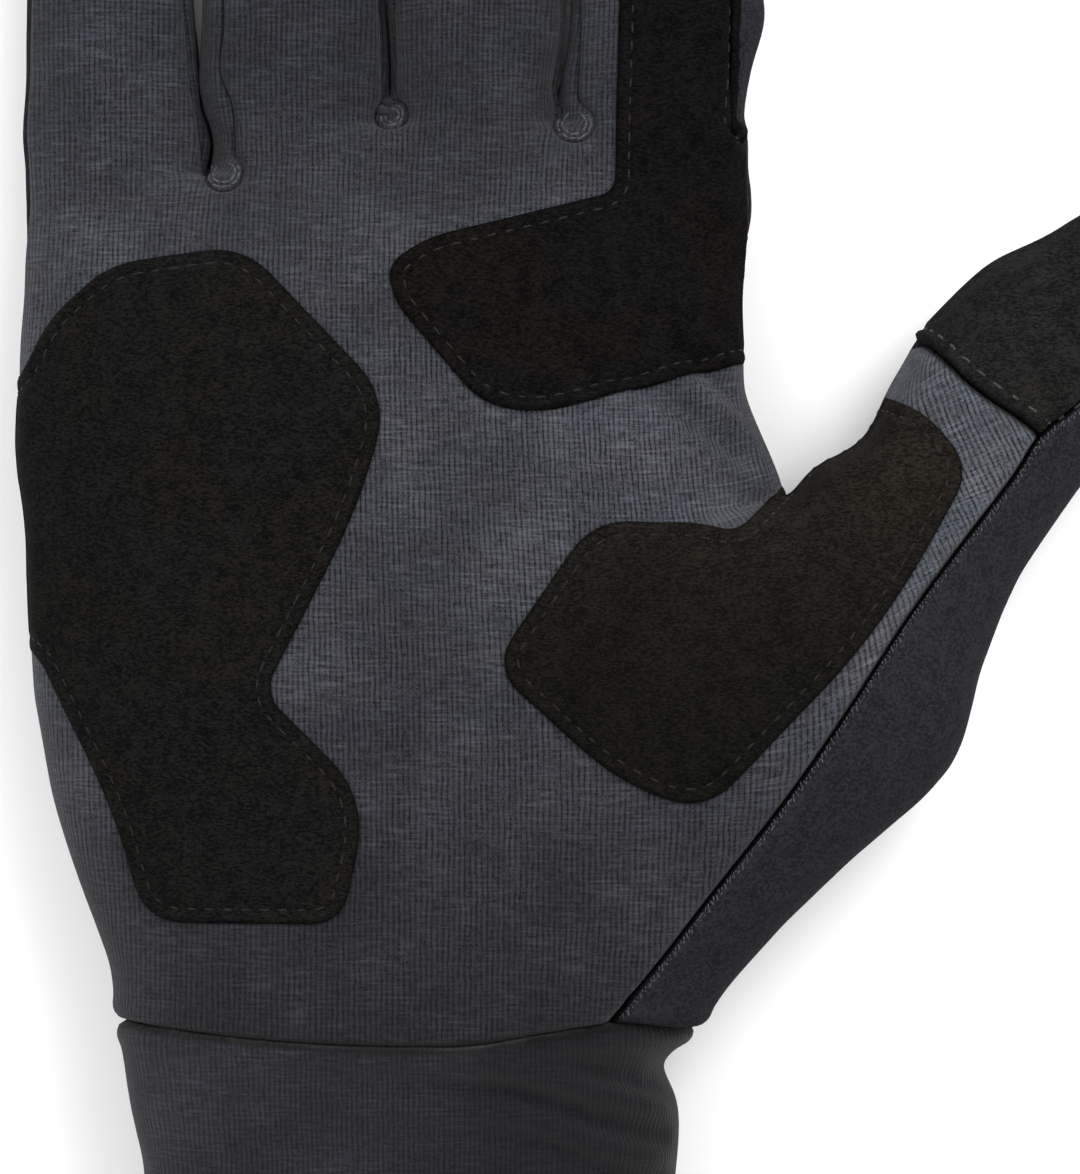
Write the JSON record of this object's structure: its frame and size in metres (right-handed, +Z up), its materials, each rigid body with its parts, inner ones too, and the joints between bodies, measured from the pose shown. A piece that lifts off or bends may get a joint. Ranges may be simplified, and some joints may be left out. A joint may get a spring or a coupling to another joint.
{
  "type": "knitted wool glove with suede grip patches, right hand",
  "caption": "Close-fitting knitted glove for the right hand, lying palm up, with suede grip patches, a suede thumb cap, finger gussets and a straight cuff.",
  "frame": {"origin": "the middle of the flattened back of the hand, on the surface that the glove lies on", "axes": "+X towards the thumb's side, +Y towards the fingertips, +Z up out of the palm"},
  "size_m": [0.1524, 0.257, 0.0352],
  "materials": {
    "heather_knit": "matt fine jersey, heathered blue-grey",
    "charcoal_knit": "matt brushed knit, charcoal",
    "cuff_knit": "matt fine jersey, dark heather",
    "suede": "matt brushed synthetic suede, black"
  },
  "bodies": {
    "root": {"palm_panel": "heather_knit", "back_panel": "charcoal_knit", "fourchette_little_ring": "heather_knit", "fourchette_ring_middle": "heather_knit", "fourchette_middle_index": "heather_knit", "cuff": "cuff_knit", "heel_patch": "suede", "index_patch": "suede", "thumb_patch": "suede", "thumb_cap": "suede"}
  },
  "joints": []
}
